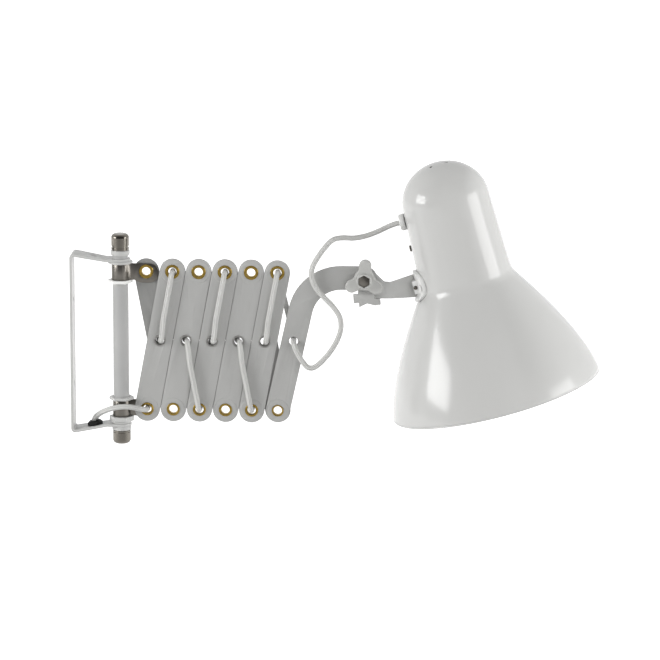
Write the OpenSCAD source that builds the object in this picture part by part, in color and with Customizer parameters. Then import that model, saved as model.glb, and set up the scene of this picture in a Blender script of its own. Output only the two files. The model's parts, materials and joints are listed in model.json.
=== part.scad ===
// Accordion wall lamp. X runs out of the wall, Z is up, and Y runs away from the side that shows the knob.
// The origin is the centre of the bracket's wall face.

/* [Wall bracket] */
// Width of the bracket's flat strip at the wall
bracket_w = 25; // [20:0.5:32]
// Width of the bracket's arms at the spindle
bracket_end_w = 20; // [19.5:0.5:24]
// Thickness of the bracket's strip
bracket_t = 2.5; // [2:0.1:4]
// Height of the bracket over its two bends
bracket_h = 183; // [178:1:200]
// Outer radius of the bends at the wall
bracket_bend_r = 4; // [4:0.5:8]
// Slope of the bracket's arms, in degrees
bracket_slope = 10; // [8:0.5:11]
// Distance from the wall at which the arms turn level
bracket_flat_x = 36; // [30:1:38]
// Distance from the wall to the spindle's axis
spindle_x = 50; // [48:1:60]
// Diameter of the two wall screw holes
wall_hole_d = 5; // [4:0.5:7]
// Height between the two wall screw holes
wall_hole_gap = 86; // [60:1:120]
// Diameter of the cord hole in each bracket arm
arm_hole_d = 8.4; // [8:0.2:9]
// Distance from the wall to the cord holes
arm_hole_x = 23.5; // [20:0.5:27]

/* [Spindle] */
// Outer diameter of the spindle tube
tube_d = 16; // [14:0.5:17]
// Wall of the spindle tube
tube_wall = 1.5; // [1:0.1:2.5]
// Length of bare tube above the upper bracket arm
tube_over = 3.5; // [3:0.5:8]
// Diameter of the ring nuts
ring_nut_d = 19.2; // [18.5:0.2:22]
// Height of the upper ring nut
top_nut_h = 4.9; // [4:0.1:7]
// Height of the lower ring nut
bottom_nut_h = 4.4; // [3:0.1:6]
// Diameter of the end caps
cap_d = 18; // [17.8:0.1:20]
// Height of the upper cap's grooved neck
cap_neck_h = 4.7; // [3:0.1:6]
// Height of the upper cap above its neck
top_cap_h = 12; // [12:0.1:20]
// Height of the lower cap below its neck
bottom_cap_h = 11.5; // [10:0.1:20]
// Diameter of the flange washer under the upper arm
washer_d = 25; // [22:0.5:28]
// Thickness of the flange washers
washer_t = 2.4; // [1.5:0.1:2.4]
// Width over the corners of the hexagon nuts and the glide ring
hex_d = 24.8; // [23:0.2:26]
// Height of the thrust nut above the lower arm
thrust_nut_h = 4.8; // [4:0.1:5.5]
// Height of the hexagon collar and of the glide ring
collar_h = 3; // [3:0.1:5]

/* [Hinge tabs] */
// Height of the rolled sleeves on the tube
sleeve_h = 16.8; // [12:0.2:17.6]
// Sheet thickness of the sleeves
sleeve_t = 0.8; // [0.6:0.1:1]
// Height of a tab around its eyelet
tab_h = 19.4; // [17:0.2:20]
// Radius of a tab's outer corners
tab_corner_r = 9; // [7:0.5:9.5]
// Reach of a tab past its eyelet
tab_reach = 12.4; // [11:0.1:12.5]

/* [Scissor arms] */
// Distance between an arm's end pivots
arm_len = 143.7; // [143:0.1:147]
// Space between neighbouring arms when folded
arm_gap = 0.85; // [0.6:0.05:4]
// Width of the arms
arm_w = 25.5; // [22:0.1:26]
// Thickness of the arms
arm_t = 2; // [1.5:0.1:2.2]
// Distance from the spindle to the first pivots
first_pivot = 26.1; // [25:0.1:28]
// Height of the lower pivots below the origin
pivot_drop = 68.3; // [68:0.1:69.5]
// Diameter of the raised pads at the arm ends
pad_d = 23; // [20:0.5:24]
// Height of the raised pads
pad_step = 0.35; // [0.2:0.05:0.5]

/* [Eyelets] */
// Bore of the eyelets
eyelet_bore = 8.4; // [8:0.1:8.8]
// Wall of the eyelets' barrels
eyelet_wall = 0.7; // [0.5:0.1:0.8]
// Flange diameter of the upper eyelets
top_flange_d = 14.4; // [13:0.1:16]
// Flange diameter of the lower eyelets
bottom_flange_d = 13.2; // [12:0.1:16]
// Flange diameter of the rivets at the crossings
mid_flange_d = 12; // [11.6:0.1:14]
// Thickness of the flanges
flange_t = 0.7; // [0.5:0.1:0.9]

/* [Head arm] */
// Lean of the head arm from the vertical, in degrees
head_lean = 12.6; // [12:0.1:14]
// Width of the head arm
head_w = 24.2; // [22:0.1:25]
// Radius of the head arm's bend, along its middle
head_bend_r = 42; // [34:1:46]
// Height of the head arm's level end above the lower pivots
head_rise = 136.9; // [134:0.1:140]
// Length of the head arm's level end, from the bend to the knuckle
head_level = 23.3; // [22:0.1:30]
// Diameter of the cord hole halfway up the head arm
head_hole_d = 9; // [8.6:0.1:10]
// Distance from the lower pivot to that hole
head_hole_len = 73.4; // [70:0.1:76]

/* [Knuckle] */
// Radius of the tilt knob over its lobes
knob_r = 20.6; // [18:0.1:24]
// Radius of the tilt knob between its lobes
knob_waist_r = 10.8; // [10:0.2:13]
// Thickness of the tilt knob's lobes
knob_t = 7; // [6:0.5:9]
// Diameter of the knob's raised hub
knob_hub_d = 14.8; // [14.4:0.2:18]
// Height of the hub above the lobes
knob_hub_h = 6; // [4:0.5:8]
// Width across the flats of the knob's hexagon socket
socket_af = 11.2; // [10.8:0.1:11.6]
// Depth of the free part of the socket
socket_depth = 1.6; // [1:0.1:7]
// Diameter of the knuckle bolt
bolt_d = 6; // [5:0.5:6]
// Thickness of the seat behind the knob
seat_t = 4.2; // [3:0.1:5]
// Width of the seat's skirt
seat_w = 16.6; // [14:0.2:20]
// Drop of the skirt below the knuckle's axis
seat_drop = 28; // [24:0.5:32]
// Turn of the skirt, in degrees
seat_turn = 6; // [0:1:12]
// Thickness of the friction washer
friction_t = 0.9; // [0.6:0.1:1.2]

/* [Head strip] */
// Distance from the knuckle to the strip's side bend
strip_bend_x = 25.5; // [24:0.5:30]
// Distance from the side bend to the strip's end, along the strip
strip_end_len = 29.2; // [24:0.1:32]
// Side bend of the strip, in degrees
strip_bend = 24; // [10:1:30]
// Height of the strip's neck
strip_neck_h = 16.8; // [14:0.2:18]
// Height of the strip's end
strip_end_h = 25; // [18:0.5:26]
// Drop of the strip's lower edge below the knuckle
strip_drop = 21; // [18:0.5:24]

/* [Shade] */
// Outer radius of the shade's rim
rim_r = 107; // [90:0.5:115]
// Height of the shade's bell
bell_h = 121; // [105:1:130]
// Power of the bell's curve
bell_power = 1.4; // [1.2:0.05:1.8]
// Outer radius of the neck above the bell
neck_r = 47.1; // [44:0.1:50]
// Outer radius of the neck below the dome
dome_r = 44.1; // [42:0.1:48]
// Height of the neck
neck_h = 83; // [74:1:95]
// Height of the dome
dome_h = 40.5; // [36:0.5:46]
// Wall of the shade
shade_t = 0.9; // [0.7:0.1:1.4]
// Tilt of the shade, in degrees
shade_tilt = 14.8; // [10:0.2:18]
// Distance of the shade's axis behind the arms
shade_side = 20; // [16:0.5:22]
// Diameter of the vent holes
vent_d = 3.6; // [2.5:0.1:4.5]
// Radius of the ring of vent holes
vent_ring_r = 11.4; // [9:0.2:14]

/* [Head fittings] */
// Thickness of the saddle on the neck
saddle_t = 4; // [3:0.1:5]
// Height of the saddle
saddle_h = 29; // [26:0.5:32]
// Length of the saddle round the neck
saddle_w = 44; // [40:1:56]
// Height of the saddle's middle above the rim
saddle_s = 129; // [126:0.5:135]
// Diameter of the cord gland
gland_d = 17; // [14:0.2:20]
// Length of the gland outside the neck
gland_h = 5.8; // [5:0.1:9]
// Height of the gland above the rim
gland_s = 194; // [188:0.5:198]
// Height of the lamp holder's screw above the rim
holder_screw_s = 166; // [162:0.5:170]
// Diameter of the lamp holder
holder_d = 39; // [36:0.5:42]
// Bore of the lamp holder
holder_bore = 27.4; // [27:0.2:28]
// Length of the lamp holder
holder_h = 58; // [50:1:64]

/* [Cord] */
// Diameter of the mains cord
cord_d = 5.4; // [5:0.1:5.6]
// Bend radius of the cord at the eyelets
lace_bend_r = 3.6; // [3.2:0.1:4]

/* [Hidden] */

// Facet counts of round parts, and one overrun for every cut
$fn = 64;
fine_fn = 96;
bend_steps = 12;
end_steps = 24;
over = 1;
// Gap between flat faces of different pieces, gap in a running fit, and gap round a fixed pin
face_gap = 0.1;
run_gap = 0.06;
hole_gap = 0.2;

// Colours
steel_paint = [0.65, 0.65, 0.63];
bracket_paint = [0.8, 0.8, 0.79];
shade_paint = [0.86, 0.86, 0.84];
nickel = [0.7, 0.68, 0.65];
dark_steel = [0.42, 0.4, 0.38];
brass_colour = [0.72, 0.6, 0.3];
cord_colour = [0.84, 0.84, 0.82];
rubber_colour = [0.06, 0.06, 0.06];
knob_plastic = [0.66, 0.66, 0.64];
white_plastic = [0.88, 0.88, 0.86];

// Bracket
bend_top = bracket_h / 2 - bracket_bend_r;
bend_in_r = bracket_bend_r - bracket_t;
arm_out_z = bend_top + bracket_bend_r / cos(bracket_slope)
    - (bracket_flat_x - bracket_bend_r) * tan(bracket_slope);
arm_in_z = arm_out_z - bracket_t;
kink_shift = bracket_t * tan(bracket_slope / 2);
taper_x = 10;
hole_line_z = bend_top + (bend_in_r + bracket_t / 2) / cos(bracket_slope)
    - (arm_hole_x - bracket_bend_r) * tan(bracket_slope);
grommet_d = 15.4;
grommet_h = 4.6;
grommet_foot_d = 11;
grommet_foot_h = 1.2;

// Spindle
tube_top_z = arm_out_z + tube_over + top_nut_h;
cap_wall = 1.2;
cap_round_r = 4;
cap_stem_h = 6;
cap_groove = 0.6;
bottom_neck_h = 2.5;
sleeve_r = tube_d / 2 + run_gap + sleeve_t;
thrust_top_z = -arm_in_z + washer_t + thrust_nut_h;
sleeve_low_z = thrust_top_z + face_gap;
collar_low_z = sleeve_low_z + sleeve_h + face_gap;
sleeve_up_z = arm_in_z - washer_t - face_gap - sleeve_h;
glide_top_z = sleeve_up_z;
chamfer = 0.6;

// Pivots
pitch = arm_w + arm_gap;
fold_angle = asin(pitch / arm_len);
rise = arm_len * cos(fold_angle);
half_len = arm_len / 2;
pivot_x = spindle_x + first_pivot;
bottom_z = -pivot_drop;
top_z = bottom_z + rise;
mid_z = bottom_z + rise / 2;
layer_gap = face_gap;
barrel_r = eyelet_bore / 2 + eyelet_wall;
pivot_hole_r = barrel_r + hole_gap;
pad_y = layer_gap + arm_t + pad_step;
flange_y = pad_y + layer_gap / 2;
web_x = 6;
tab_drop = 1.8;
tab_root_x = 14.5;

// Head arm
head_x = pivot_x + 5 * pitch;
head_line = head_rise - head_bend_r + head_bend_r * sin(head_lean);
bend_x = head_x + head_line * tan(head_lean) + head_bend_r * cos(head_lean);
bend_z = bottom_z + head_rise - head_bend_r;
knuckle_x = bend_x + head_level;
knuckle_z = bottom_z + head_rise;
head_hole_x = head_x + head_hole_len * sin(head_lean);
head_hole_z = bottom_z + head_hole_len * cos(head_lean);
rolled_flange_d = 11.2;
bolt_hole_r = bolt_d / 2 + hole_gap;

// Knuckle stack along Y
seat_front_y = -(layer_gap + arm_t + seat_t);
knob_back_y = seat_front_y - hole_gap;
knob_front_y = knob_back_y - knob_t;
hub_front_y = knob_front_y - knob_hub_h;
bolt_head_h = 4;
bolt_head_af = socket_af - 2 * hole_gap;
socket_floor_y = hub_front_y + socket_depth + bolt_head_h;
strip_y = -layer_gap + face_gap + friction_t;
strip_t = 2;
nut_af = 10;
nut_h = 5;
bolt_out = 1.2;
lobe_power_share = 1.6;
lobe_turn = 87;
seat_notch = 3;
seat_lug_w = 5;
seat_top_share = 0.82;
lug_top_shares = [0.53, 0.75];
lug_low_shares = [0.84, 0.98];

// Head strip
strip_root_r = 11;
strip_low_z = knuckle_z - strip_drop;
strip_neck_z = strip_low_z + strip_neck_h;
strip_side_x = knuckle_x + strip_bend_x;
strip_neck_share = 0.75;
strip_end_lift = -0.6;
end_slot_low = min(0, strip_end_lift) - face_gap;
strip_end_x = strip_side_x + strip_end_len * cos(strip_bend);
strip_end_y = strip_y + strip_t / 2 + strip_end_len * sin(strip_bend);
strip_end_z = strip_low_z + strip_end_lift + strip_end_h / 2;

// Shade, measured from the centre of its rim along its own axis
hang_lift = 0.6;
slot_in = 2.5;
saddle_angle = asin((shade_side - strip_end_y) / (neck_r + saddle_t));
hang_s = saddle_s + hang_lift;
hang_r = (neck_r + saddle_t) * cos(saddle_angle) - slot_in;
shade_x = strip_end_x + hang_s * sin(shade_tilt) + hang_r * cos(shade_tilt);
shade_z = strip_end_z - hang_s * cos(shade_tilt) + hang_r * sin(shade_tilt);
bell_steps = 14;
dome_steps = 10;
rim_lip = 1.6;
saddle_gap = 0.4;
saddle_corner_r = saddle_h / 2;
ear_out = 1.2;
ear_in = 6;
ear_front = 19.5;
ear_back = 3;
ear_h = 13;
saddle_steps = 8;
screw_d = 4;
screw_head_t = 1.2;
screw_slot_w = 0.7;
rivet_d = 4;
rivet_head_d = 7;
rivet_head_t = 1;
rivet_place_share = 0.4;
gland_flange_t = 1.6;
gland_nut_d = 14;
gland_nut_h = 4;
gland_thread_d = 10;
holder_strap_t = 1.5;
holder_strap_w = 12;
holder_gap = 1;
holder_floor_t = 4;
holder_screw_d = 3.5;
holder_head_d = 6.6;
holder_head_t = 1.8;
holder_top_s = holder_screw_s + 10;

// Cords. The free routes are lists of places chosen by hand
cord_grip = 0.1;
cord_sides = 10;
lace_out = flange_y;
lace_y = lace_out + lace_bend_r;
lace_turns = [0, 30, 60, 90];
wall_route = [[23.8, 0, -88.5], [22.7, 0, -81.8], [22.9, -0.4, -79.5], [24.9, -2, -76.4], [29, -5, -72.8],
    [35, -8.4, -69.2], [41.8, -11.4, -66.2], [49, -13.2, -64.4], [56.4, -13.6, -63.9], [62.9, -13, -64.7],
    [68.2, -11.4, -66.1], [72.2, -8.8, -67.6], [74.9, -5.6, -68.3], [76.1, -2.4, -68.3], [76.1, 0, -68.3]];
loop_route = [[223.9, 0, 3.3], [223.9, -2.8, 3.3], [224.4, -6.2, 2], [226.1, -9.4, -2.3],
    [229.5, -11.6, -8.6], [233.9, -12.8, -15.4], [238.3, -13.4, -20.2], [242.9, -13.6, -21.4],
    [248.3, -13.6, -18.8], [254.9, -13.4, -12.6], [262.4, -13, -3.2], [268.4, -12.4, 7.4],
    [271.9, -11.4, 18.6], [270.8, -10.2, 30.2], [263.9, -9, 40.8], [255, -8, 49.8], [246.6, -7.4, 59.6],
    [242.4, -7, 70.2], [243.4, -6.4, 80.4], [248.9, -5, 90.6], [256.2, -2.4, 100.4], [263.5, 1.6, 106.8],
    [272.5, 6, 108], [283.5, 10.4, 107], [294.9, 14.6, 108.4], [306.7, 18, 112.2], [317, 19.8, 117],
    [324.1, 20, 119.9], [328.9, 20, 121.15], [333.75, 20, 122.45]];

function column_x(i) = pivot_x + pitch * i;
function arc(cx, cy, r, a, b, steps) =
    [for (k = [0:steps]) let (t = a + (b - a) * k / steps) [cx + r * cos(t), cy + r * sin(t)]];
function unit(v) = v / norm(v);
function tangent(p, i) =
    i == 0 ? unit(p[1] - p[0])
    : i == len(p) - 1 ? unit(p[i] - p[i - 1])
    : unit(unit(p[i + 1] - p[i]) + unit(p[i] - p[i - 1]));
function carried(n, t) = unit(n - (n * t) * t);
function normals(p, i, n) =
    i == len(p) ? [] : let (m = carried(n, tangent(p, i))) concat([m], normals(p, i + 1, m));

// A round tube of the cord's diameter along a route
module cord_tube(route, first_normal) {
    turned = normals(route, 0, first_normal);
    rings = [for (i = [0:len(route) - 1])
        let (t = tangent(route, i), b = cross(t, turned[i]))
        for (k = [0:cord_sides - 1])
            route[i] + cord_d / 2 * (cos(360 * k / cord_sides) * turned[i]
                + sin(360 * k / cord_sides) * b)];
    last = (len(route) - 1) * cord_sides;
    walls = [for (i = [0:len(route) - 2]) for (k = [0:cord_sides - 1])
        let (a = i * cord_sides + k, b = i * cord_sides + (k + 1) % cord_sides)
        each [[a, a + cord_sides, b + cord_sides], [a, b + cord_sides, b]]];
    ends = [for (k = [1:cord_sides - 2])
        each [[0, k, k + 1], [last, last + k + 1, last + k]]];
    color(cord_colour) polyhedron(rings, concat(walls, ends));
}

// One quarter bend of a laced cord at a hole s0 along the arm, out of it or into it
function lace_bend(s0, toward, side, turns) =
    [for (a = turns) [s0 + toward * lace_bend_r * (1 - cos(a)), side * (lace_out + lace_bend_r * sin(a))]];
function reversed(list) = [for (k = [len(list) - 1:-1:0]) list[k]];
function half_lace(s0, s1, side) =
    concat(lace_bend(s0, 1, side, lace_turns), lace_bend(s1, -1, side, reversed(lace_turns)));
function placed(flat, start, dir) = [for (q = flat) start + q[0] * dir + [0, q[1], 0]];

// A full arm's cord runs behind its first half and in front of its second
module arm_lace(start, dir) {
    flat = concat([[0, 0]], half_lace(0, half_len, 1), half_lace(half_len, arm_len, -1), [[arm_len, 0]]);
    cord_tube(placed(flat, start, dir), dir);
}

// Flat plate between y0 and y1 from an outline drawn in X and Z
module plate(y0, y1) {
    translate([0, y1, 0]) rotate([90, 0, 0]) linear_extrude(y1 - y0) children();
}

// Cylinder along Y
module cross_pin(x, z, y0, y1, r) {
    translate([x, y1, z]) rotate([90, 0, 0]) cylinder(h = y1 - y0, r = r);
}

// Stepped spindle piece: a ring with chamfered edges
module spindle_ring(z0, h, r, bore_r) {
    translate([spindle_x, 0, z0]) rotate_extrude()
        polygon([[bore_r, 0], [r - chamfer, 0], [r, chamfer], [r, h - chamfer], [r - chamfer, h],
            [bore_r, h]]);
}

module bracket_outline() {
    turn = 90 - bracket_slope;
    outer = concat([[spindle_x + bracket_end_w, arm_out_z], [bracket_flat_x, arm_out_z]],
        arc(bracket_bend_r, bend_top, bracket_bend_r, turn, 180, bend_steps),
        arc(bracket_bend_r, -bend_top, bracket_bend_r, 180, 360 - turn, bend_steps),
        [[bracket_flat_x, -arm_out_z], [spindle_x + bracket_end_w, -arm_out_z]]);
    inner = concat([[spindle_x + bracket_end_w, -arm_in_z], [bracket_flat_x - kink_shift, -arm_in_z]],
        arc(bracket_bend_r, -bend_top, bend_in_r, 360 - turn, 180, bend_steps),
        arc(bracket_bend_r, bend_top, bend_in_r, 180, turn, bend_steps),
        [[bracket_flat_x - kink_shift, arm_in_z], [spindle_x + bracket_end_w, arm_in_z]]);
    polygon(concat(outer, inner));
}

module bracket_plan() {
    polygon([[0, -bracket_w / 2], [taper_x, -bracket_w / 2], [bracket_flat_x, -bracket_end_w / 2],
        [spindle_x, -bracket_end_w / 2], [spindle_x, bracket_end_w / 2],
        [bracket_flat_x, bracket_end_w / 2], [taper_x, bracket_w / 2], [0, bracket_w / 2]]);
    translate([spindle_x, 0]) circle(bracket_end_w / 2);
}

module wall_bracket() {
    color(bracket_paint) difference() {
        intersection() {
            plate(-bracket_w / 2 - over, bracket_w / 2 + over) bracket_outline();
            translate([0, 0, -bracket_h]) linear_extrude(2 * bracket_h) bracket_plan();
        }
        translate([spindle_x, 0, -bracket_h]) cylinder(h = 2 * bracket_h, r = tube_d / 2 + run_gap);
        for (side = [-1, 1]) {
            translate([-over, 0, side * wall_hole_gap / 2])
                rotate([0, 90, 0]) cylinder(h = bracket_t + 2 * over, r = wall_hole_d / 2);
            translate([arm_hole_x, 0, side * hole_line_z]) rotate([0, side * bracket_slope, 0])
                cylinder(h = bracket_t + 2 * over, r = arm_hole_d / 2, center = true);
        }
    }
}

module spindle_tube() {
    color(steel_paint) translate([spindle_x, 0, -arm_out_z - bottom_nut_h]) difference() {
        cylinder(h = tube_top_z + arm_out_z + bottom_nut_h, r = tube_d / 2);
        translate([0, 0, -over])
            cylinder(h = tube_top_z + arm_out_z + bottom_nut_h + 2 * over, r = tube_d / 2 - tube_wall);
    }
}

// Cap standing on z = 0: a grooved neck, a body with a rounded end and a stem that plugs into the tube
module end_cap(neck_h, body_h) {
    stem_r = tube_d / 2 - tube_wall - run_gap;
    neck_r0 = cap_d / 2 - cap_groove;
    top = neck_h + body_h;
    outline = concat([[0, -cap_stem_h], [stem_r, -cap_stem_h], [stem_r, 0], [neck_r0, 0],
            [neck_r0, neck_h / 4], [cap_d / 2, neck_h / 4], [cap_d / 2, neck_h / 2],
            [neck_r0, neck_h / 2], [neck_r0, neck_h], [cap_d / 2, neck_h]],
        arc(cap_d / 2 - cap_round_r, top - cap_round_r, cap_round_r, 0, 80, bend_steps), [[0, top]]);
    rotate_extrude() polygon(outline);
}

module top_cap() {
    color(nickel) translate([spindle_x, 0, tube_top_z]) end_cap(cap_neck_h, top_cap_h);
}

module bottom_cap() {
    color(nickel) translate([spindle_x, 0, -arm_out_z - bottom_nut_h]) mirror([0, 0, 1])
        end_cap(bottom_neck_h, bottom_cap_h);
}

module top_ring_nut() {
    color(bracket_paint)
        spindle_ring(tube_top_z - top_nut_h, top_nut_h, ring_nut_d / 2, tube_d / 2 + run_gap);
}

module bottom_ring_nut() {
    color(bracket_paint)
        spindle_ring(-arm_out_z - bottom_nut_h, bottom_nut_h, ring_nut_d / 2, tube_d / 2 + run_gap);
}

module top_washer() {
    color(bracket_paint) spindle_ring(arm_in_z - washer_t, washer_t, washer_d / 2, tube_d / 2 + run_gap);
}

module bottom_washer() {
    color(bracket_paint) spindle_ring(-arm_in_z, washer_t, ring_nut_d / 2, tube_d / 2 + run_gap);
}

// Hexagon ring on the tube
module hex_ring(z0, h, bore_r) {
    translate([spindle_x, 0, z0]) difference() {
        cylinder(h = h, r = hex_d / 2, $fn = 6);
        translate([0, 0, -over]) cylinder(h = h + 2 * over, r = bore_r);
    }
}

module lower_thrust_nut() {
    color(bracket_paint) hex_ring(-arm_in_z + washer_t, thrust_nut_h, tube_d / 2 + run_gap);
}

module lower_collar() {
    color(bracket_paint) hex_ring(collar_low_z, collar_h, tube_d / 2 + run_gap);
}

module upper_glide_ring() {
    color(white_plastic) hex_ring(glide_top_z - collar_h, collar_h, tube_d / 2 + run_gap);
}

// Rubber strain relief in the lower arm's cord hole
module cord_grommet() {
    waist_r = arm_hole_d / 2 - run_gap;
    bore_r = cord_d / 2 - cord_grip;
    half_t = bracket_t / 2;
    outline = [[bore_r, -half_t - grommet_foot_h], [grommet_foot_d / 2, -half_t - grommet_foot_h],
        [grommet_foot_d / 2, -half_t], [waist_r, -half_t], [waist_r, half_t],
        [grommet_d / 2, half_t], [grommet_d / 2, half_t + grommet_h / 2],
        [grommet_d / 3, half_t + grommet_h], [bore_r, half_t + grommet_h]];
    color(rubber_colour) translate([arm_hole_x, 0, -hole_line_z]) rotate([0, -bracket_slope, 0])
        rotate_extrude() polygon(outline);
}

// Rolled sleeve on the tube with a tab in one layer. side is -1 for the front layer and 1 for the back
module hinge_tab(side, sleeve_z, tab_z, pivot_z) {
    y0 = side > 0 ? layer_gap : -layer_gap - arm_t;
    corner_z = tab_h / 2 - tab_corner_r;
    difference() {
        union() {
            translate([spindle_x, 0, sleeve_z]) cylinder(h = sleeve_h, r = sleeve_r);
            translate([spindle_x, 0, sleeve_z]) linear_extrude(sleeve_h)
                polygon([[0, side * layer_gap], [0, side * (sleeve_r - sleeve_t / 4)],
                    [web_x / 2, side * (sleeve_r - sleeve_t / 2)],
                    [tab_root_x - 2 * arm_t, side * (layer_gap + arm_t)],
                    [tab_root_x, side * (layer_gap + arm_t)], [tab_root_x, side * layer_gap]]);
            plate(y0, y0 + arm_t) union() {
                for (up = [-1, 1])
                    translate([pivot_x + tab_reach - tab_corner_r, tab_z + up * corner_z])
                        circle(tab_corner_r);
                translate([pivot_x, tab_z - tab_h / 2]) square([tab_reach - tab_corner_r, tab_h]);
                translate([pivot_x, tab_z - corner_z]) square([tab_reach, 2 * corner_z]);
                polygon([[spindle_x + tab_root_x, sleeve_z], [spindle_x + tab_root_x, sleeve_z + sleeve_h],
                    [pivot_x - arm_w / 4, tab_z + tab_h / 2], [pivot_x + arm_t, tab_z + tab_h / 2],
                    [pivot_x + arm_t, tab_z - tab_h / 2], [pivot_x - arm_w / 4, tab_z - tab_h / 2]]);
            }
        }
        translate([spindle_x, 0, sleeve_z - over])
            cylinder(h = sleeve_h + 2 * over, r = tube_d / 2 + run_gap);
        cross_pin(pivot_x, pivot_z, y0 - over, y0 + arm_t + over, pivot_hole_r);
    }
}

module lower_hinge_tab() {
    color(dark_steel) hinge_tab(1, sleeve_low_z, bottom_z, bottom_z);
}

module upper_hinge_tab() {
    color(dark_steel) hinge_tab(-1, sleeve_up_z, top_z - tab_drop, top_z);
}

// Flanged eyelet along Y between two faces, with a flared mouth at both ends
module eyelet(x, z, y_front, y_back, flange_r) {
    bore_r = eyelet_bore / 2;
    mouth = flange_t / 2;
    length = y_back - y_front;
    translate([x, y_back, z]) rotate([90, 0, 0]) rotate_extrude()
        polygon([[bore_r, mouth], [bore_r + mouth, -flange_t + mouth / 2], [bore_r + 2 * mouth, -flange_t],
            [flange_r - mouth, -flange_t], [flange_r, -mouth], [flange_r, 0], [barrel_r, 0],
            [barrel_r, length], [flange_r, length], [flange_r, length + mouth],
            [flange_r - mouth, length + flange_t], [bore_r + 2 * mouth, length + flange_t],
            [bore_r + mouth, length + flange_t - mouth / 2], [bore_r, length - mouth]]);
}

module upper_tab_eyelet() {
    color(brass_colour) eyelet(pivot_x, top_z, -layer_gap * 1.5 - arm_t, flange_y, top_flange_d / 2);
}

// Straight strip with round ends from one pivot to the other, in the layer on that side
module scissor_arm(side, x0, z0, x1, z1) {
    lean = atan2(x1 - x0, z1 - z0);
    y0 = side > 0 ? layer_gap : -layer_gap - arm_t;
    pad_r = pad_d / 2;
    difference() {
        union() {
            plate(y0, y0 + arm_t) translate([x0, z0]) rotate(-lean) union() {
                circle(arm_w / 2);
                translate([0, arm_len]) circle(arm_w / 2);
                translate([-arm_w / 2, 0]) square([arm_w, arm_len]);
            }
            for (end = [[x0, z0], [x1, z1]])
                translate([end[0], side * (layer_gap + arm_t), end[1]]) rotate([-side * 90, 0, 0])
                    cylinder(h = pad_step, r1 = pad_r, r2 = pad_r - pad_step);
        }
        for (hole = [[x0, z0], [x1, z1], [(x0 + x1) / 2, (z0 + z1) / 2]])
            cross_pin(hole[0], hole[1], -pad_y - over, pad_y + over, pivot_hole_r);
    }
}

// Arms are counted from 1 at the wall: front arms rise outward and back arms fall outward
module front_arm(i) {
    color(steel_paint) scissor_arm(-1, column_x(i - 1), bottom_z, column_x(i), top_z);
}

module back_arm(i) {
    color(steel_paint) scissor_arm(1, column_x(i - 1), top_z, column_x(i), bottom_z);
}

module arm_eyelets(i) {
    last = i == 5;
    color(brass_colour) {
        eyelet(column_x(i - 1), bottom_z, -flange_y, i == 1 ? layer_gap * 1.5 + arm_t : flange_y,
            bottom_flange_d / 2);
        eyelet(column_x(i), top_z, -flange_y, last ? -layer_gap : flange_y, top_flange_d / 2);
    }
}

module mid_rivet(i) {
    color(steel_paint) eyelet(column_x(i - 1) + pitch / 2, mid_z, -layer_gap * 1.5 - arm_t,
        layer_gap * 1.5 + arm_t, mid_flange_d / 2);
}

// Head arm: a leaning strip that bends over to a level end at the knuckle
module head_arm_outline() {
    half = head_w / 2;
    side = 180 - head_lean;
    polygon(concat(arc(head_x, bottom_z, half, side, side + 180, end_steps),
        arc(bend_x, bend_z, head_bend_r - half, side, 90, bend_steps),
        arc(knuckle_x, knuckle_z, half, -90, 90, end_steps),
        arc(bend_x, bend_z, head_bend_r + half, 90, side, bend_steps)));
}

module head_arm() {
    color(steel_paint) difference() {
        union() {
            plate(-layer_gap - arm_t, -layer_gap) head_arm_outline();
            translate([head_x, -layer_gap - arm_t, bottom_z]) rotate([90, 0, 0])
                cylinder(h = pad_step, r1 = pad_d / 2, r2 = pad_d / 2 - pad_step);
        }
        cross_pin(head_x, bottom_z, -pad_y - over, over, pivot_hole_r);
        cross_pin(head_hole_x, head_hole_z, -pad_y - over, over, head_hole_d / 2);
        cross_pin(knuckle_x, knuckle_z, -pad_y - over, over, bolt_hole_r);
    }
}

module head_arm_eyelet() {
    color(brass_colour) eyelet(head_x, bottom_z, -flange_y, flange_y, rolled_flange_d / 2 + flange_t / 2);
}

module wall_cord() {
    cord_tube(wall_route, [0, 1, 0]);
}

// Laced cords 1, 3 and 5 climb front arms; 2 and 4 come down back arms
module laced_cord(i) {
    up = i % 2 == 1;
    start = [column_x(i - 1), 0, up ? bottom_z : top_z];
    end = [column_x(i), 0, up ? top_z : bottom_z];
    arm_lace(start, unit(end - start));
}

module link_cord() {
    start = [head_x, 0, top_z];
    end = [head_hole_x, 0, head_hole_z];
    flat = concat([[0, 0]], half_lace(0, norm(end - start), 1), [[norm(end - start), 0]]);
    cord_tube(placed(flat, start, unit(end - start)), unit(end - start));
}

module loop_cord() {
    cord_tube(loop_route, [0, 0, 1]);
}

// Outline of the knob: three round lobes, one of them up
module knob_outline() {
    polygon([for (a = [0:5:355])
        let (swell = pow((1 + cos(3 * (a - lobe_turn))) / 2, lobe_power_share),
            r = knob_waist_r + (knob_r - knob_waist_r) * swell)
        [r * cos(a), r * sin(a)]]);
}

module tilt_knob() {
    socket_r = socket_af / 2 / cos(30);
    color(knob_plastic) difference() {
        union() {
            translate([knuckle_x, 0, knuckle_z]) plate(knob_front_y, knob_back_y) knob_outline();
            cross_pin(knuckle_x, knuckle_z, hub_front_y, knob_back_y, knob_hub_d / 2);
        }
        cross_pin(knuckle_x, knuckle_z, hub_front_y - over, knob_back_y + over, bolt_hole_r);
        translate([knuckle_x, socket_floor_y, knuckle_z]) rotate([90, 30, 0])
            cylinder(h = knob_t + knob_hub_h, r = socket_r, $fn = 6);
    }
}

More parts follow.
